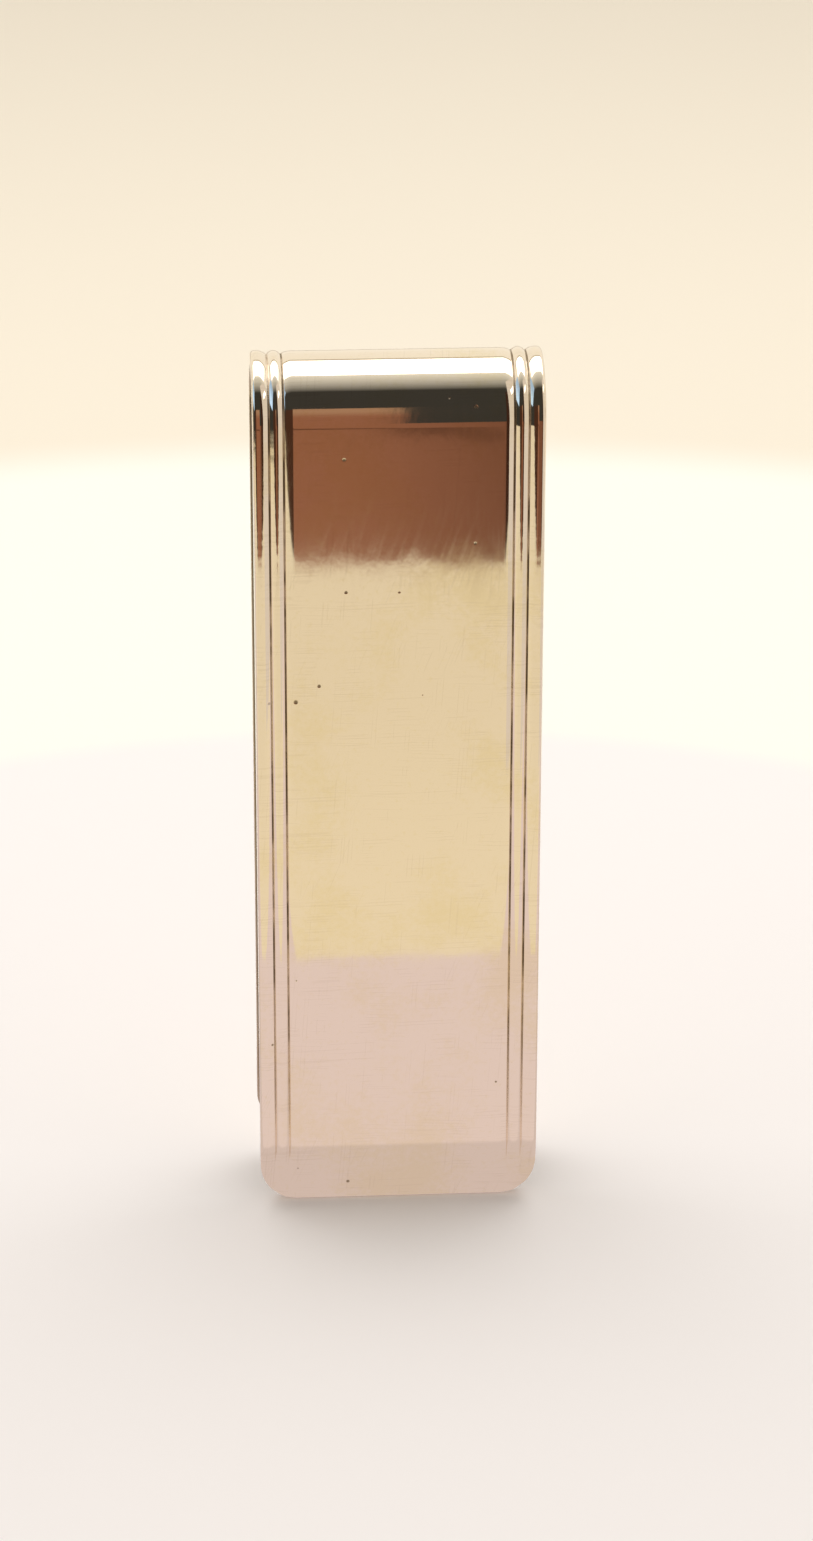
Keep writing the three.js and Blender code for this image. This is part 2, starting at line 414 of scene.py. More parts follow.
def strip_mesh(name, sizes, outline, up, path, travel, tip_row=None):
    """One stretch of the strip as a closed mesh with exact normals and a map in millimetres.

    Its rows follow the strip from the front tip, over the bend, to the back tip. up is each
    row's distance from the near tip, path its place, and travel its distance along the whole
    strip, which the map carries so that marks run on from one stretch to the next. tip_row is
    the row that is a tip, 0 or -1. The other end rows are joints, closed with flat caps.
    """
    x = strip_grid(sizes, outline, up)
    rows, columns = x.shape
    up_grid = np.repeat(up[:, None], columns, 1)
    outer_height, outer_normal = face_of_strip(sizes, outline, x, up_grid, inner=False)
    inner_height, inner_normal = face_of_strip(sizes, outline, x, up_grid, inner=True)
    outer, outer_normals = laid_on_path(path, x, outer_height, outer_normal)
    inner, inner_normals = laid_on_path(path, x, inner_height, inner_normal)
    count = rows * columns
    points = np.concatenate([outer, inner])
    normals = np.concatenate([outer_normals, inner_normals])

    number = np.arange(count).reshape(rows, columns)
    faces, flat = [], []

    def add(new, is_cap=False):
        new = new.reshape(-1, 4)
        faces.append(new)
        flat.append(np.full(len(new), is_cap))

    for row in range(rows - 1):
        add(quads(number[row], number[row + 1]))
        add(quads(number[row + 1] + count, number[row] + count))
    left, right = number[:, 0], number[:, -1]
    add(quads(left, left + count))
    add(quads(right + count, right))
    first, last = number[0], number[-1]
    add(quads(first + count, first), tip_row != 0)
    add(quads(last, last + count), tip_row != -1)
    faces, flat = np.concatenate(faces), np.concatenate(flat)

    side_of_map = np.concatenate([np.zeros(count), np.full(count, 2 * sizes.strip_width)])
    map_x = (np.tile(x.ravel(), 2) + side_of_map) / MM
    map_y = np.tile(np.repeat(travel, columns), 2) / MM
    depth = (-outer_height.ravel() - sizes.groove_lip) / (sizes.groove_depth - sizes.groove_lip)
    groove = np.concatenate([np.clip(depth, 0, 1), np.zeros(count)])
    near_edge = outline.nearest(x.ravel(), up_grid.ravel())[0] < 2 * sizes.outer_round
    groove[:count][near_edge] = 0.0
    return mesh_from(name, points, normals, faces, flat, np.stack([map_x, map_y], 1), groove)


def mesh_from(name, points, normals, faces, flat, strip_map, groove):
    """A mesh from the strip's arrays, with coincident points merged and their slivers dropped."""
    key = np.round(points / SAME_POINT).astype(np.int64)
    _, kept, merged = np.unique(key, axis=0, return_index=True, return_inverse=True)
    polygons, corner_sources, caps = [], [], []
    for polygon, source, is_cap in zip(merged.reshape(-1)[faces], faces, flat):
        keep = [i for i in range(4) if polygon[i] != polygon[i - 1]]
        if len(keep) >= 3 and len({polygon[i] for i in keep}) == len(keep):
            polygons.append([int(polygon[i]) for i in keep])
            corner_sources.extend(source[keep])
            caps.append(is_cap)

    mesh = bpy.data.meshes.new(name)
    mesh.from_pydata(points[kept].tolist(), [], polygons)
    mesh.update()
    layer = mesh.uv_layers.new(name="StripMap")
    layer.data.foreach_set("uv", strip_map[corner_sources].astype(np.float32).ravel())
    attribute = mesh.attributes.new("groove", "FLOAT", "POINT")
    attribute.data.foreach_set("value", groove[kept].astype(np.float32))
    mesh.polygons.foreach_set("use_smooth", np.ones(len(polygons), bool))
    corner_normals = normals[corner_sources]
    start = 0
    for polygon, is_cap in zip(mesh.polygons, caps):
        if is_cap:
            corner_normals[start:start + polygon.loop_total] = polygon.normal
        start += polygon.loop_total
    mesh.normals_split_custom_set(corner_normals.tolist())
    return mesh


def piece_from(mesh, name):
    """A piece of the clip in the scene, finished in silver."""
    piece = bpy.data.objects.new(name, mesh)
    bpy.context.scene.collection.objects.link(piece)
    mesh.materials.append(silver_material())
    return piece


def rows_up_a_leaf(whole, corner_height, straight_from, flex):
    """Distances from a leaf's tip of its rows: close at the tip, its turn and the bend."""
    corner_rows, tip_rows, straight_rows, flexing_rows = 36, 44, 22, 15
    turn = np.linspace(0, math.pi / 2, corner_rows)
    rows = np.unique(np.round(np.concatenate([
        EDGE_STEPS,
        corner_height * (1 - np.cos(turn)),
        np.linspace(0, straight_from, tip_rows),
        np.linspace(straight_from, whole - flex, straight_rows),
        np.linspace(whole - flex, whole, flexing_rows),
    ]), 8))
    kept = np.diff(rows, prepend=-1.0) > CLOSEST_ROWS
    kept[-1] = True
    return rows[kept]


# ---------------------------------------------------------------- the silver


def new_group(name, inputs, outputs):
    """An empty shader node group with named sockets, and its input and output nodes."""
    group = bpy.data.node_groups.new(name, "ShaderNodeTree")
    for socket_name, kind, default in inputs:
        socket = group.interface.new_socket(socket_name, in_out="INPUT", socket_type=kind)
        if default is not None:
            socket.default_value = default
    for socket_name, kind in outputs:
        group.interface.new_socket(socket_name, in_out="OUTPUT", socket_type=kind)
    return group, group.nodes.new("NodeGroupInput"), group.nodes.new("NodeGroupOutput")


class Wiring:
    """Short ways to place and join nodes in a tree."""

    def __init__(self, tree):
        self.tree = tree

    def feed(self, socket, value):
        """Joins a socket to another's output, or sets it to a plain value."""
        if isinstance(value, bpy.types.NodeSocket):
            self.tree.links.new(value, socket)
        else:
            socket.default_value = value

    def node(self, kind, inputs=None, **settings):
        """A node with its settings and inputs."""
        made = self.tree.nodes.new(kind)
        for key, value in settings.items():
            setattr(made, key, value)
        for key, value in (inputs or {}).items():
            self.feed(made.inputs[key], value)
        return made

    def math(self, operation, *values, clamp=False):
        """The result of one arithmetic step."""
        made = self.node("ShaderNodeMath", operation=operation, use_clamp=clamp)
        for socket, value in zip(made.inputs, values):
            self.feed(socket, value)
        return made.outputs[0]

    def between(self, value, low, high, to_low=0.0, to_high=1.0, kind="SMOOTHSTEP"):
        """A value's place between two levels, held at the ends."""
        made = self.node("ShaderNodeMapRange", interpolation_type=kind, inputs={
            "Value": value, "From Min": low, "From Max": high, "To Min": to_low, "To Max": to_high,
        })
        return made.outputs["Result"]

    def noise(self, vector, scale, detail=3.0, roughness=0.5):
        """A noise texture's value at some coordinates."""
        made = self.node("ShaderNodeTexNoise", inputs={
            "Vector": vector, "Scale": scale, "Detail": detail, "Roughness": roughness,
        })
        return made.outputs["Fac"]

    def placed(self, vector, scale=(1, 1, 1), turn=0.0, shift=(0, 0, 0)):
        """Coordinates turned in their plane, scaled and shifted."""
        made = self.node("ShaderNodeMapping", vector_type="TEXTURE", inputs={
            "Vector": vector, "Rotation": (0, 0, turn), "Location": shift,
        })
        return self.node("ShaderNodeMapping", inputs={
            "Vector": made.outputs[0], "Scale": scale,
        }).outputs[0]

    def mix(self, factor, first, second):
        """Two colours mixed."""
        made = self.node("ShaderNodeMix", data_type="RGBA")
        self.feed(made.inputs[0], factor)
        self.feed(made.inputs[6], first)
        self.feed(made.inputs[7], second)
        return made.outputs[2]


def once(make):
    """Makes a material or group the first time it is asked for, and gives the same one after."""
    made = []

    def get():
        if not made:
            made.append(make())
        return made[0]

    return get


@once
def hairline_group():
    """Fine straight scratches in several leanings, with broken ends. The map is in millimetres."""
    group, given, result = new_group(
        "Hairline scratches",
        [("Map", "NodeSocketVector", None), ("Amount", "NodeSocketFloat", 0.5)],
        [("Mask", "NodeSocketFloat")],
    )
    w = Wiring(group)
    leanings = ((0.03, 9.0, 0.60), (-0.05, 14.0, 0.62), (1.5, 8.0, 0.66), (1.2, 12.0, 0.70))
    total = None
    for turn, fineness, rarity in leanings:
        stroke = w.placed(given.outputs["Map"], scale=(0.05, fineness, 1), turn=turn)
        thin = w.between(w.noise(stroke, 1.0, detail=0.0), rarity, rarity + 0.05)
        patch = w.noise(w.placed(given.outputs["Map"], shift=(turn * 40, 9, 0)), 0.4, detail=1.0)
        broken = w.math("MULTIPLY", thin, w.between(patch, 0.5, 0.6))
        total = broken if total is None else w.math("ADD", total, broken)
    mask = w.math("MULTIPLY", total, given.outputs["Amount"], clamp=True)
    w.feed(result.inputs["Mask"], mask)
    return group


@once
def streak_group():
    """Broad soft streaks that a polishing cloth leaves along the strip."""
    group, given, result = new_group(
        "Polishing streaks",
        [("Map", "NodeSocketVector", None), ("Amount", "NodeSocketFloat", 0.5)],
        [("Mask", "NodeSocketFloat")],
    )
    w = Wiring(group)
    total = None
    for turn, fineness, place in ((1.57, 3.4, 3.0), (1.25, 2.6, 17.0)):
        stroke = w.placed(given.outputs["Map"], scale=(0.16, fineness, 1), turn=turn)
        streak = w.between(w.noise(stroke, 1.0, detail=2.0), 0.42, 0.68)
        patch = w.noise(w.placed(given.outputs["Map"], shift=(place, 5, 0)), 0.2, detail=1.0)
        kept = w.math("MULTIPLY", streak, w.between(patch, 0.44, 0.6))
        total = kept if total is None else w.math("MAXIMUM", total, kept)
    w.feed(result.inputs["Mask"], w.math("MULTIPLY", total, given.outputs["Amount"], clamp=True))
    return group


@once
def tarnish_group():
    """Soft straw-coloured patches with speckled edges."""
    group, given, result = new_group(
        "Tarnish bloom",
        [("Map", "NodeSocketVector", None), ("Amount", "NodeSocketFloat", 0.4)],
        [("Mask", "NodeSocketFloat")],
    )
    w = Wiring(group)
    broad = w.noise(w.placed(given.outputs["Map"], shift=(4.0, -7.0, 0)), 0.13, detail=3.0)
    speckle = w.noise(given.outputs["Map"], 2.4, detail=4.0, roughness=0.65)
    ragged = w.math("ADD", broad, w.math("MULTIPLY", w.math("SUBTRACT", speckle, 0.5), 0.35))
    patch = w.between(ragged, 0.44, 0.68)
    speckles = w.between(speckle, 0.54, 0.74, 0.0, 0.6)
    stained = w.math("MAXIMUM", patch, speckles)
    mask = w.math("MULTIPLY", stained, given.outputs["Amount"], clamp=True)
    w.feed(result.inputs["Mask"], mask)
    return group


@once
def pit_group():
    """Scattered small pits."""
    group, given, result = new_group(
        "Pits",
        [("Map", "NodeSocketVector", None), ("Amount", "NodeSocketFloat", 0.5)],
        [("Mask", "NodeSocketFloat"), ("Height", "NodeSocketFloat")],
    )
    w = Wiring(group)
    cells = w.node("ShaderNodeTexVoronoi", inputs={
        "Vector": given.outputs["Map"], "Scale": 0.62, "Randomness": 1.0,
    })
    rarity = w.node("ShaderNodeSeparateColor", inputs={"Color": cells.outputs["Color"]})
    left_plain, size_spread, smallest = 0.87, 0.06, 0.05
    chosen = w.math("GREATER_THAN", rarity.outputs["Red"], left_plain)
    size = w.math("MULTIPLY_ADD", rarity.outputs["Green"], size_spread, smallest)
    dot = w.between(cells.outputs["Distance"], size, w.math("MULTIPLY", size, 0.4))
    mask = w.math("MULTIPLY", w.math("MULTIPLY", dot, chosen), given.outputs["Amount"], clamp=True)
    w.feed(result.inputs["Mask"], mask)
    w.feed(result.inputs["Height"], w.math("MULTIPLY", mask, -1.0))
    return group


@once
def grime_group():
    """Broken dark dashes of old polish lying in the grooves, worn away towards the front tip."""
    group, given, result = new_group(
        "Groove grime",
        [("Map", "NodeSocketVector", None), ("Groove", "NodeSocketFloat", 0.0)],
        [("Mask", "NodeSocketFloat"), ("Depth", "NodeSocketFloat")],
    )
    w = Wiring(group)
    dashes = w.noise(w.placed(given.outputs["Map"], scale=(1.2, 0.3, 1)), 1.0, detail=3.0)
    broken = w.between(dashes, 0.40, 0.62, 0.05, 0.75)
    deep = w.between(given.outputs["Groove"], 0.05, 0.5)
    along = w.node("ShaderNodeSeparateXYZ", inputs={0: given.outputs["Map"]}).outputs["Y"]
    worn_from, worn_to = -34.0, -48.0
    left = w.math("MULTIPLY", broken, w.between(along, worn_to, worn_from, 0.1, 1.0))
    w.feed(result.inputs["Mask"], w.math("MULTIPLY", left, deep, clamp=True))
    w.feed(result.inputs["Depth"], deep)
    return group


@once
def waviness_group():
    """The slow ripple that hand polishing leaves in the panel, and the small dents in the reeds."""
    group, given, result = new_group(
        "Polished waviness",
        [("Map", "NodeSocketVector", None)],
        [("Height", "NodeSocketFloat")],
    )
    w = Wiring(group)
    slow = w.noise(given.outputs["Map"], 0.28, detail=1.0)
    fine = w.noise(w.placed(given.outputs["Map"], scale=(1, 0.6, 1)), 1.6, detail=2.0)
    across = w.node("ShaderNodeSeparateXYZ", inputs={0: given.outputs["Map"]}).outputs["X"]
    reeds_from, reeds_whole, dented = 6.8, 7.2, 0.30
    on_reeds = w.between(w.math("ABSOLUTE", across), reeds_from, reeds_whole, 0.0, dented)
    dents = w.noise(w.placed(given.outputs["Map"], scale=(0.7, 1, 1)), 1.1, detail=1.0)
    ripple = w.math("MULTIPLY_ADD", fine, 0.08, w.math("MULTIPLY", slow, 0.6))
    w.feed(result.inputs["Height"], w.math("MULTIPLY_ADD", dents, on_reeds, ripple))
    return group


@once
def silver_material():
    """Polished silver with a little tarnish, fine scratches, pits and grime in its grooves."""
    finish = bpy.context.scene.money_clip_silver
    sizes = bpy.context.scene.money_clip_sizes
    material = bpy.data.materials.new("Polished silver")
    material.use_nodes = True
    material.diffuse_color = (*finish.silver, 1)
    tree = material.node_tree
    tree.nodes.clear()
    w = Wiring(tree)
    strip_map = w.node("ShaderNodeUVMap", uv_map="StripMap").outputs[0]
    groove = w.node("ShaderNodeAttribute", attribute_name="groove").outputs["Fac"]

    def placed(group, **values):
        made = w.node("ShaderNodeGroup", node_tree=group)
        w.feed(made.inputs["Map"], strip_map)
        for key, value in values.items():
            w.feed(made.inputs[key], value)
        return made.outputs

    scratches = placed(hairline_group(), Amount=finish.scratches)
    tarnish = placed(tarnish_group(), Amount=finish.tarnish_amount)
    pits = placed(pit_group(), Amount=finish.pitting)
    grime = placed(grime_group(), Groove=groove)
    streaks = placed(streak_group(), Amount=finish.streaks)
    waviness = placed(waviness_group())

    across = w.node("ShaderNodeSeparateXYZ", inputs={0: strip_map}).outputs["X"]
    inner_face = w.math("GREATER_THAN", across, 1.5 * sizes.strip_width / MM)
    base = (*finish.silver, 1)
    for mask, tone in (
        (tarnish["Mask"], finish.tarnish), (scratches["Mask"], finish.scratch),
        (inner_face, finish.inner_silver), (pits["Mask"], finish.grime),
        (grime["Mask"], finish.grime),
    ):
        base = w.mix(mask, base, (*tone, 1))
    roughness = finish.roughness
    for mask, rougher in (
        (tarnish["Mask"], 0.05), (streaks["Mask"], 0.03), (inner_face, 0.22),
        (pits["Mask"], 0.4), (grime["Depth"], 0.45),
    ):
        roughness = w.math("MULTIPLY_ADD", mask, rougher, roughness, clamp=True)

    ripple = w.node("ShaderNodeBump", inputs={
        "Height": waviness["Height"], "Strength": 0.6, "Distance": 0.02 * MM,
    })
    marked = w.node("ShaderNodeBump", inputs={
        "Height": pits["Height"], "Strength": 0.5, "Distance": 0.024 * MM,
        "Normal": ripple.outputs[0],
    })
    shader = w.node("ShaderNodeBsdfPrincipled", inputs={
        "Base Color": base, "Metallic": 1.0, "Roughness": roughness, "Normal": marked.outputs[0],
    })
    w.node("ShaderNodeOutputMaterial", inputs={"Surface": shader.outputs[0]})
    return material


# ---------------------------------------------------------------- the stage


def stage_sheet(name, corners, material):
    """A flat stage object through four corners."""
    mesh = bpy.data.meshes.new(name)
    mesh.from_pydata(corners, [], [(0, 1, 2, 3)])
    sheet = bpy.data.objects.new(name, mesh)
    bpy.context.scene.collection.objects.link(sheet)
    mesh.materials.append(material)
    return sheet


def card(name, corners, material):
    """A stage sheet that shows in the metal alone, and lights and shades nothing else."""
    sheet = stage_sheet(name, corners, material)
    sheet.visible_camera = False
    sheet.visible_diffuse = False
    sheet.visible_shadow = False


def level(x_range, y_range, z):
    """Corners of a level sheet."""
    (x0, x1), (y0, y1) = x_range, y_range
    return [(x0, y0, z), (x1, y0, z), (x1, y1, z), (x0, y1, z)]


def upright(start, end, z_range):
    """Corners of an upright sheet over a line on the floor."""
    (x0, y0), (x1, y1), (z0, z1) = start, end, z_range
    return [(x0, y0, z0), (x1, y1, z0), (x1, y1, z1), (x0, y0, z1)]


def stage_material(name):
    """An empty material and a wiring for it."""
    material = bpy.data.materials.new(name)
    material.use_nodes = True
    material.node_tree.nodes.clear()
    return material, Wiring(material.node_tree)


def glowing(name, rgb, rgb_after=None, axis="Y", span=(0.0, 1.0), even=False):
    """A material that gives off light. With a second colour it shades over a span of one axis.

    The shading eases in and out, or is even along the span.
    """
    material, w = stage_material(name)
    tone = (*rgb, 1)
    if rgb_after is not None:
        place = w.node("ShaderNodeNewGeometry").outputs["Position"]
        split = w.node("ShaderNodeSeparateXYZ", inputs={0: place})
        kind = "LINEAR" if even else "SMOOTHSTEP"
        tone = w.mix(w.between(split.outputs[axis], *span, kind=kind), tone, (*rgb_after, 1))
    light = w.node("ShaderNodeEmission", inputs={"Color": tone})
    w.node("ShaderNodeOutputMaterial", inputs={"Surface": light.outputs[0]})
    return material


def dimmed(rgb, factor):
    """A darker or lighter shade of a colour."""
    return tuple(factor * part for part in rgb)


def floor_material(studio):
    """A plain pale floor whose tone warms with distance from the clip."""
    material, w = stage_material("Pale floor")
    place = w.node("ShaderNodeNewGeometry").outputs["Position"]
    flat = w.node("ShaderNodeVectorMath", operation="MULTIPLY", inputs={0: place, 1: (1, 1, 0)})
    away = w.node("ShaderNodeVectorMath", operation="LENGTH", inputs={0: flat.outputs[0]})
    distance = away.outputs["Value"]
    tone = (*studio.floor_near, 1)
    for start, end, next_tone in (
        (76 * MM, 82 * MM, studio.floor_middle), (144 * MM, 158 * MM, studio.floor_far),
    ):
        tone = w.mix(w.between(distance, start, end), tone, (*next_tone, 1))
    shader = w.node("ShaderNodeBsdfDiffuse", inputs={"Color": tone})
    w.node("ShaderNodeOutputMaterial", inputs={"Surface": shader.outputs[0]})
    return material


FLOOR_CLEARANCE, CARD_LIFT = 0.05 * MM, 0.02 * MM  # tip to floor, and floor to the cloths on it
SCREEN_LEAN, DARK_SETBACK = 2.2 * MM, 2.6 * MM  # how far screens stand past the table's edge


def build_table(studio, floor_z):
    """The floor, and the two cloths on it that the metal reflects, the pink one with a painted shade
    next to the clip.
    """
    reach = 3.0
    stage_sheet("studio_floor", level((-reach, reach), (-reach, reach), floor_z),
                floor_material(studio))
    card_z = floor_z + CARD_LIFT
    left_side, right_side = -1.2 * studio.table_side, studio.table_side
    across = (left_side, right_side)
    pink_back, cream_front = 20 * MM, -studio.table_edge - DARK_SETBACK
    painted_contact_shade, cream_fade = (-11.5 * MM, -8 * MM), (-105 * MM, -studio.cloth_edge)
    # The pink cloth darkens to 0.86 of its tone next to the clip: painted shade of the clip's contact
    # shadow, as the lip reflects it.
    pink_and_painted_shade = glowing("Pink cloth", studio.pink_tone, dimmed(studio.pink_tone, 0.86), "Y",
                   painted_contact_shade)
    card("pink_card", level(across, (-studio.cloth_edge, pink_back), card_z), pink_and_painted_shade)
    cream = glowing("Cream cloth", dimmed(studio.cream_tone, 0.94), studio.cream_tone, "Y",
                    cream_fade)
    card("cream_card", level(across, (cream_front, -studio.cloth_edge), card_z), cream)


def build_screens(studio, floor_z):
    """Screens at the table's edge that only the metal shows: brown to the right, dark elsewhere. The
    brown one has a painted highlight along its top and a painted shadow below its ledge.
    """
    side, front = studio.table_side, -studio.table_edge
    leaning, behind, before = front - SCREEN_LEAN, front - DARK_SETBACK, front + 1 * MM
    post_left, brown_left, shadow_right = -100 * MM, -15 * MM, -6 * MM
    step_x, ledge_right, shade_x, side_end = 7.5 * MM, 18 * MM, 22 * MM, -60 * MM
    low, lit_fade_bottom, fully_lit_from, tall, dark_top = -17 * MM, 10 * MM, 40 * MM, 50 * MM, 140 * MM
    brown = glowing("Brown screen", studio.brown_tone, dimmed(studio.brown_tone, 0.62), "X",
                    (0.0, shade_x))
    dark = glowing("Dark screen", studio.dark_tone)
    # The brown screen's top is painted lighter, fading down into the brown: a painted highlight where
    # the light falls on its top.
    lit_top = glowing("Lit top of brown screen", studio.lit_top_tone, studio.brown_tone, "Z", (fully_lit_from, lit_fade_bottom))
    # One dark brown for the ledge and for the painted shadow below it.
    ledge_and_shadow = glowing("Ledge and painted shadow", dimmed(studio.brown_tone, 0.42))
    post = glowing("Screen's post", dimmed(studio.brown_tone, 0.22))
    card("tall_brown_card", upright((brown_left, leaning), (step_x, front), (floor_z, tall)), brown)
    card("left_post_card", upright((post_left, leaning), (brown_left, leaning), (floor_z, tall)),
         post)
    card("lit_top_card", upright((brown_left, before), (step_x, before), (lit_fade_bottom, tall)), lit_top)
    # The second card is a painted shadow: a dark blotch on the brown screen below the ledge.
    for name, right, left_z, right_z in (
        ("ledge_card", ledge_right, (-36 * MM, -28 * MM), (-41.9 * MM, -41.0 * MM)),
        ("ledge_shadow_card", shadow_right, (-41.8 * MM, -40.6 * MM), (-40.2 * MM, -39.8 * MM)),
    ):
        card(name, [
            (brown_left, before, left_z[0]), (right, before, right_z[0]),
            (right, before, right_z[1]), (brown_left, before, left_z[1]),
        ], ledge_and_shadow)
    card("low_brown_card", upright((step_x, front), (side, front), (floor_z, low)), brown)
    card("right_brown_card", upright((side, front), (side, side_end), (floor_z, low)), brown)
    card("dark_card", upright((-side, behind), (side, behind), (floor_z, dark_top)), dark)
    radius, steps = 165 * MM, 8
    turns = np.linspace(math.acos(-behind / radius), math.pi / 2, steps + 1)
    around = [(-radius * math.sin(turn), -radius * math.cos(turn)) for turn in turns]
    for start, end in zip(around, around[1:]):
        card("corner_dark_card", upright(start, end, (floor_z, dark_top)), dark)


def build_side_lights(studio, floor_z):
    """A window on the left, and a pale wall, a dark post and a lamp on the right."""
    post_y = -studio.table_edge + 2 * MM
    window = glowing("Window", dimmed(studio.window_tone, 0.9), dimmed(studio.window_tone, 1.4),
                     "Z", (110 * MM, 45 * MM))
    post = glowing("Door post", dimmed(studio.brown_tone, 0.15))
    wall = glowing("Side wall", studio.wall_tone)
    lamp = glowing("Lamp", dimmed(studio.lamp_tone, 3.0))
    for name, start, end, heights, material in (
        ("window_card", (-146 * MM, 20 * MM), (-108 * MM, -94 * MM), (34 * MM, 145 * MM), window),
        ("post_card", (34 * MM, post_y), (76 * MM, post_y), (floor_z, 140 * MM), post),
        ("wall_card", (40 * MM, -70 * MM), (125 * MM, -20 * MM), (floor_z, 170 * MM), wall),
        ("lamp_card", (53 * MM, -48 * MM), (67 * MM, -24 * MM), (49 * MM, 65 * MM), lamp),
    ):
        card(name, upright(start, end, heights), material)


def build_softbox(studio):
    """The overhead softbox, a little behind the clip, with its glow on the ceiling before it."""
    height, near, far, half = studio.softbox_height, -8 * MM, 236 * MM, 250 * MM
    light = bpy.data.lights.new("overhead_softbox", "AREA")
    light.shape = "RECTANGLE"
    light.size, light.size_y = 2 * half, far - near
    light.energy = studio.softbox * light.size * light.size_y * math.pi
    lamp = bpy.data.objects.new("overhead_softbox", light)
    lamp.location = (0, (near + far) / 2, height)
    bpy.context.scene.collection.objects.link(lamp)
    lamp.visible_camera = False
    dusk, rim_width = -215 * MM, 40 * MM
    ceiling_tone, rim_tone = (0.93, 0.90, 0.78), (0.60, 0.53, 0.40)
    card("ceiling_card", level((-2 * half, 2 * half), (2 * dusk, near), height),
         glowing("Ceiling", studio.dark_tone, ceiling_tone, "Y", (dusk, near), even=True))
    card("rim_card", level((-2 * half, 2 * half), (far, far + rim_width), height),
         glowing("Softbox rim", rim_tone))


def build_room(studio):
    """An even soft light, which the metal shows as a pale room that is dark in front."""
    world = bpy.data.worlds.new("Pale room")
    bpy.context.scene.world = world
    world.use_nodes = True
    tree = world.node_tree
    tree.nodes.clear()
    w = Wiring(tree)
    toward = w.node("ShaderNodeTexCoord").outputs["Generated"]
    split = w.node("ShaderNodeSeparateXYZ", inputs={0: toward})
    ahead = w.between(split.outputs["Y"], -0.05, -0.3)
    above = w.between(split.outputs["Z"], -0.1, 0.0)
    shade = w.math("MULTIPLY", ahead, above)
    pale, soft_white = (1.0, 0.94, 0.80, 1), (1.0, 0.97, 0.91, 1)
    tone = w.mix(shade, pale, (*dimmed(studio.dark_tone, 1.1), 1))
    room = w.node("ShaderNodeBackground", inputs={"Color": tone, "Strength": studio.surround})
    fill = w.node("ShaderNodeBackground", inputs={"Color": soft_white, "Strength": studio.fill})
    in_metal = w.node("ShaderNodeLightPath").outputs["Is Glossy Ray"]
    both = w.node("ShaderNodeMixShader", inputs={0: in_metal, 1: fill.outputs[0], 2: room.outputs[0]})
    w.node("ShaderNodeOutputWorld", inputs={"Surface": both.outputs[0]})


def build_camera(studio, tip_z):
    """The camera, at the angle that the clip is best known from."""
    azimuth, elevation = studio.camera_azimuth, studio.camera_elevation
    back = Vector((
        math.sin(azimuth) * math.cos(elevation),
        -math.cos(azimuth) * math.cos(elevation),
        math.sin(elevation),
    ))
    aim = Vector((studio.aim_right, 0, tip_z + studio.aim_height))
    data = bpy.data.cameras.new("studio_camera")
    data.sensor_width, data.lens = 36.0, studio.lens
    data.clip_start, data.clip_end = 0.01, 20.0
    camera = bpy.data.objects.new("studio_camera", data)
    bpy.context.scene.collection.objects.link(camera)
    turn = (-back).to_track_quat("-Z", "Y").to_matrix().to_4x4()
    roll = Matrix.Rotation(studio.camera_roll, 4, "Z")
    camera.matrix_world = Matrix.Translation(aim + back * studio.camera_distance) @ turn @ roll
    bpy.context.scene.camera = camera


# ---------------------------------------------------------------- operators


class BuildFrontLeaf(bpy.types.Operator):
    """Builds the front leaf: a polished panel between reeded borders, with a creased lip"""

    bl_idname = "money_clip.front_leaf"
    bl_label = "Front Leaf"

    def execute(self, context):
        sizes = context.scene.money_clip_sizes
        radius, turn = sizes.crease_radius, sizes.lip_angle
        straight = sizes.front_length - sizes.lip_length
        lip = (sizes.lip_length - radius * math.sin(turn)) / math.cos(turn)
        whole = straight + radius * turn + lip
        outline = Outline(
            sizes.strip_width / 2, sizes.front_corner_width, sizes.front_corner_height
        )
        up = rows_up_a_leaf(
            whole, sizes.front_corner_height, 1.2 * sizes.lip_length, sizes.flex_blend
        )
        path = leaf_path(sizes, FRONT_SIDE, whole - up, straight, radius, turn)
        mesh = strip_mesh(
            "front_leaf_silver", sizes, outline, up, path, travel=up - whole, tip_row=0
        )
        piece = piece_from(mesh, "front_leaf_silver")
        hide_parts("front_leaf")
        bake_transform(piece)
        return {"FINISHED"}


class BuildSpringBend(bpy.types.Operator):
    """Builds the spring bend that joins the two leaves over the top"""

    bl_idname = "money_clip.spring_bend"
    bl_label = "Spring Bend"

    def execute(self, context):
        sizes = context.scene.money_clip_sizes
        whole = math.pi * sizes.bend_radius
        outline = Outline(
            sizes.strip_width / 2, sizes.front_corner_width, sizes.front_corner_height
        )
        rows, clear_of_corners = 121, 10 * sizes.front_corner_height
        along = np.linspace(0, whole, rows)
        up = along + clear_of_corners
        path = bend_path(sizes, along)
        mesh = strip_mesh("spring_bend_silver", sizes, outline, up, path, travel=along)
        piece = piece_from(mesh, "spring_bend_silver")
        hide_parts("spring_bend")
        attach(piece, "spring_bend")
        return {"FINISHED"}


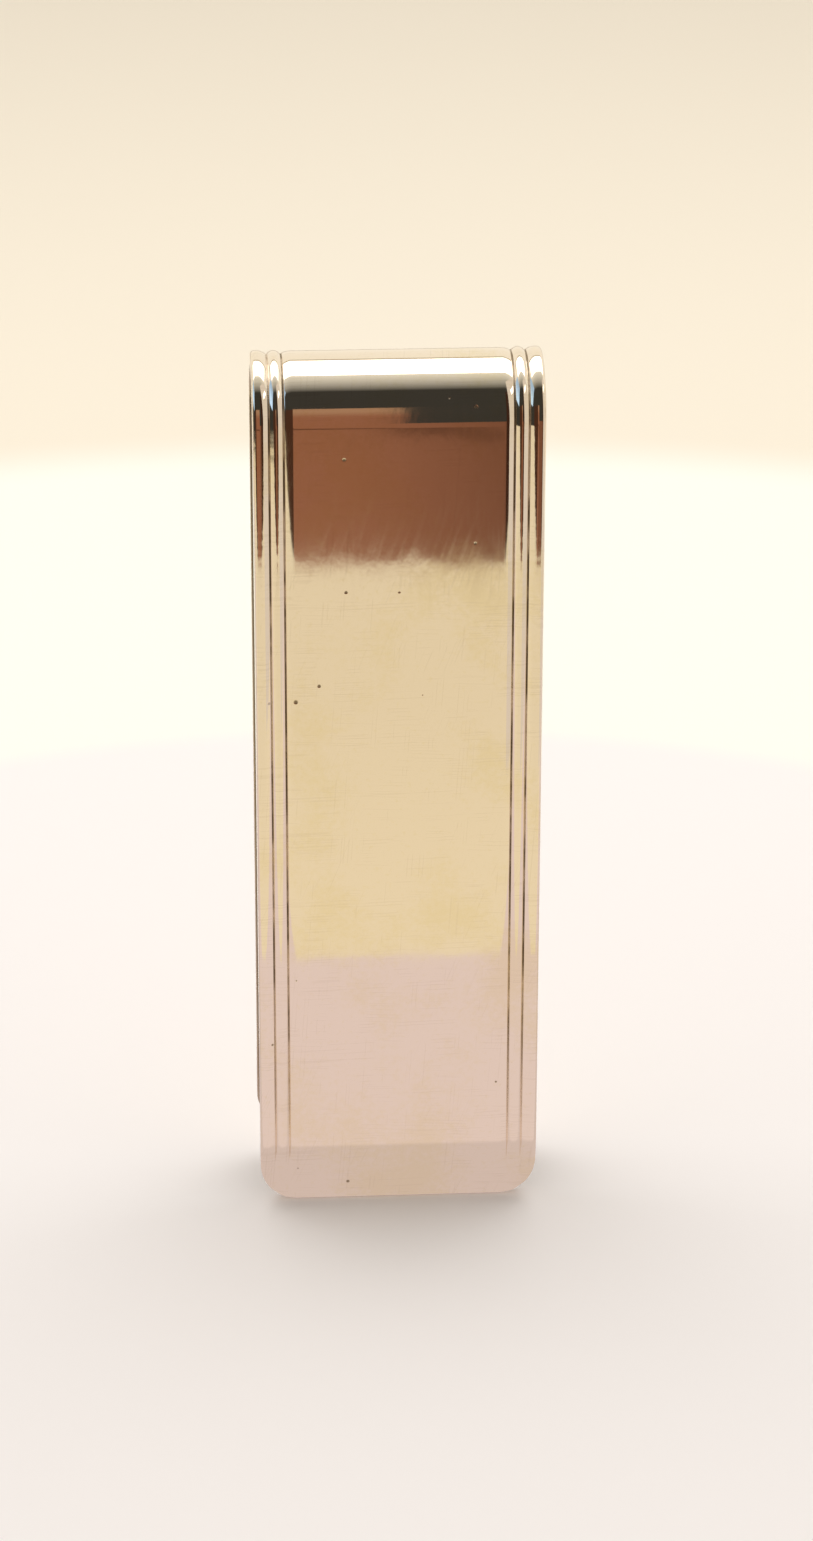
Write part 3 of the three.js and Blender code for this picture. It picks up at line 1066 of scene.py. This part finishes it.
class BuildBackLeaf(bpy.types.Operator):
    """Builds the shorter back leaf, with a tip that curls away from the notes"""

    bl_idname = "money_clip.back_leaf"
    bl_label = "Back Leaf"

    def execute(self, context):
        sizes = context.scene.money_clip_sizes
        radius = sizes.flare_radius
        turn = math.asin(sizes.flare_length / (radius + sizes.thickness))
        straight = sizes.back_length - sizes.flare_length
        whole = straight + radius * turn
        outline = Outline(sizes.strip_width / 2, sizes.back_corner, sizes.back_corner)
        up = rows_up_a_leaf(
            whole, sizes.back_corner, 1.1 * sizes.flare_length, sizes.flex_blend
        )[::-1]
        path = leaf_path(sizes, BACK_SIDE, whole - up, straight, radius, turn)
        travel = math.pi * sizes.bend_radius + whole - up
        mesh = strip_mesh(
            "back_leaf_silver", sizes, outline, up, path, travel=travel, tip_row=-1
        )
        piece = piece_from(mesh, "back_leaf_silver")
        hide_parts("back_leaf")
        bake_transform(piece)
        return {"FINISHED"}


class BuildStage(bpy.types.Operator):
    """Builds the floor, the light, the cards that the metal reflects and the camera"""

    bl_idname = "money_clip.stage"
    bl_label = "Stage"

    def execute(self, context):
        studio = context.scene.money_clip_studio
        tip_z = FRONT_LOW.z
        floor_z = tip_z - FLOOR_CLEARANCE
        build_table(studio, floor_z)
        build_screens(studio, floor_z)
        build_side_lights(studio, floor_z)
        build_softbox(studio)
        build_room(studio)
        build_camera(studio, tip_z)
        context.scene.view_settings.view_transform = "Standard"
        return {"FINISHED"}


class MoneyClipPanel(bpy.types.Panel):
    """Lists the clip's settings and the steps that build it"""

    bl_idname = "VIEW3D_PT_money_clip"
    bl_label = "Money Clip"
    bl_space_type = "VIEW_3D"
    bl_region_type = "UI"
    bl_category = "Money Clip"

    def draw(self, context):
        layout = self.layout
        for operator in OPERATORS:
            layout.operator(operator.bl_idname)
        for settings in ("money_clip_sizes", "money_clip_silver", "money_clip_studio"):
            group = getattr(context.scene, settings)
            box = layout.box()
            for name in group.__annotations__:
                box.prop(group, name)


SETTINGS = {
    "money_clip_sizes": ClipSizes,
    "money_clip_silver": SilverFinish,
    "money_clip_studio": StudioSettings,
}
OPERATORS = (BuildFrontLeaf, BuildSpringBend, BuildBackLeaf, BuildStage)


def register():
    for name, group in SETTINGS.items():
        bpy.utils.register_class(group)
        setattr(bpy.types.Scene, name, bpy.props.PointerProperty(type=group))
    for cls in (*OPERATORS, MoneyClipPanel):
        bpy.utils.register_class(cls)


def unregister():
    for cls in (MoneyClipPanel, *reversed(OPERATORS)):
        bpy.utils.unregister_class(cls)
    for name, group in reversed(SETTINGS.items()):
        delattr(bpy.types.Scene, name)
        bpy.utils.unregister_class(group)


def main():
    register()
    bpy.ops.money_clip.front_leaf()
    bpy.ops.money_clip.spring_bend()
    bpy.ops.money_clip.back_leaf()
    bpy.ops.money_clip.stage()


if __name__ == "__main__":
    main()
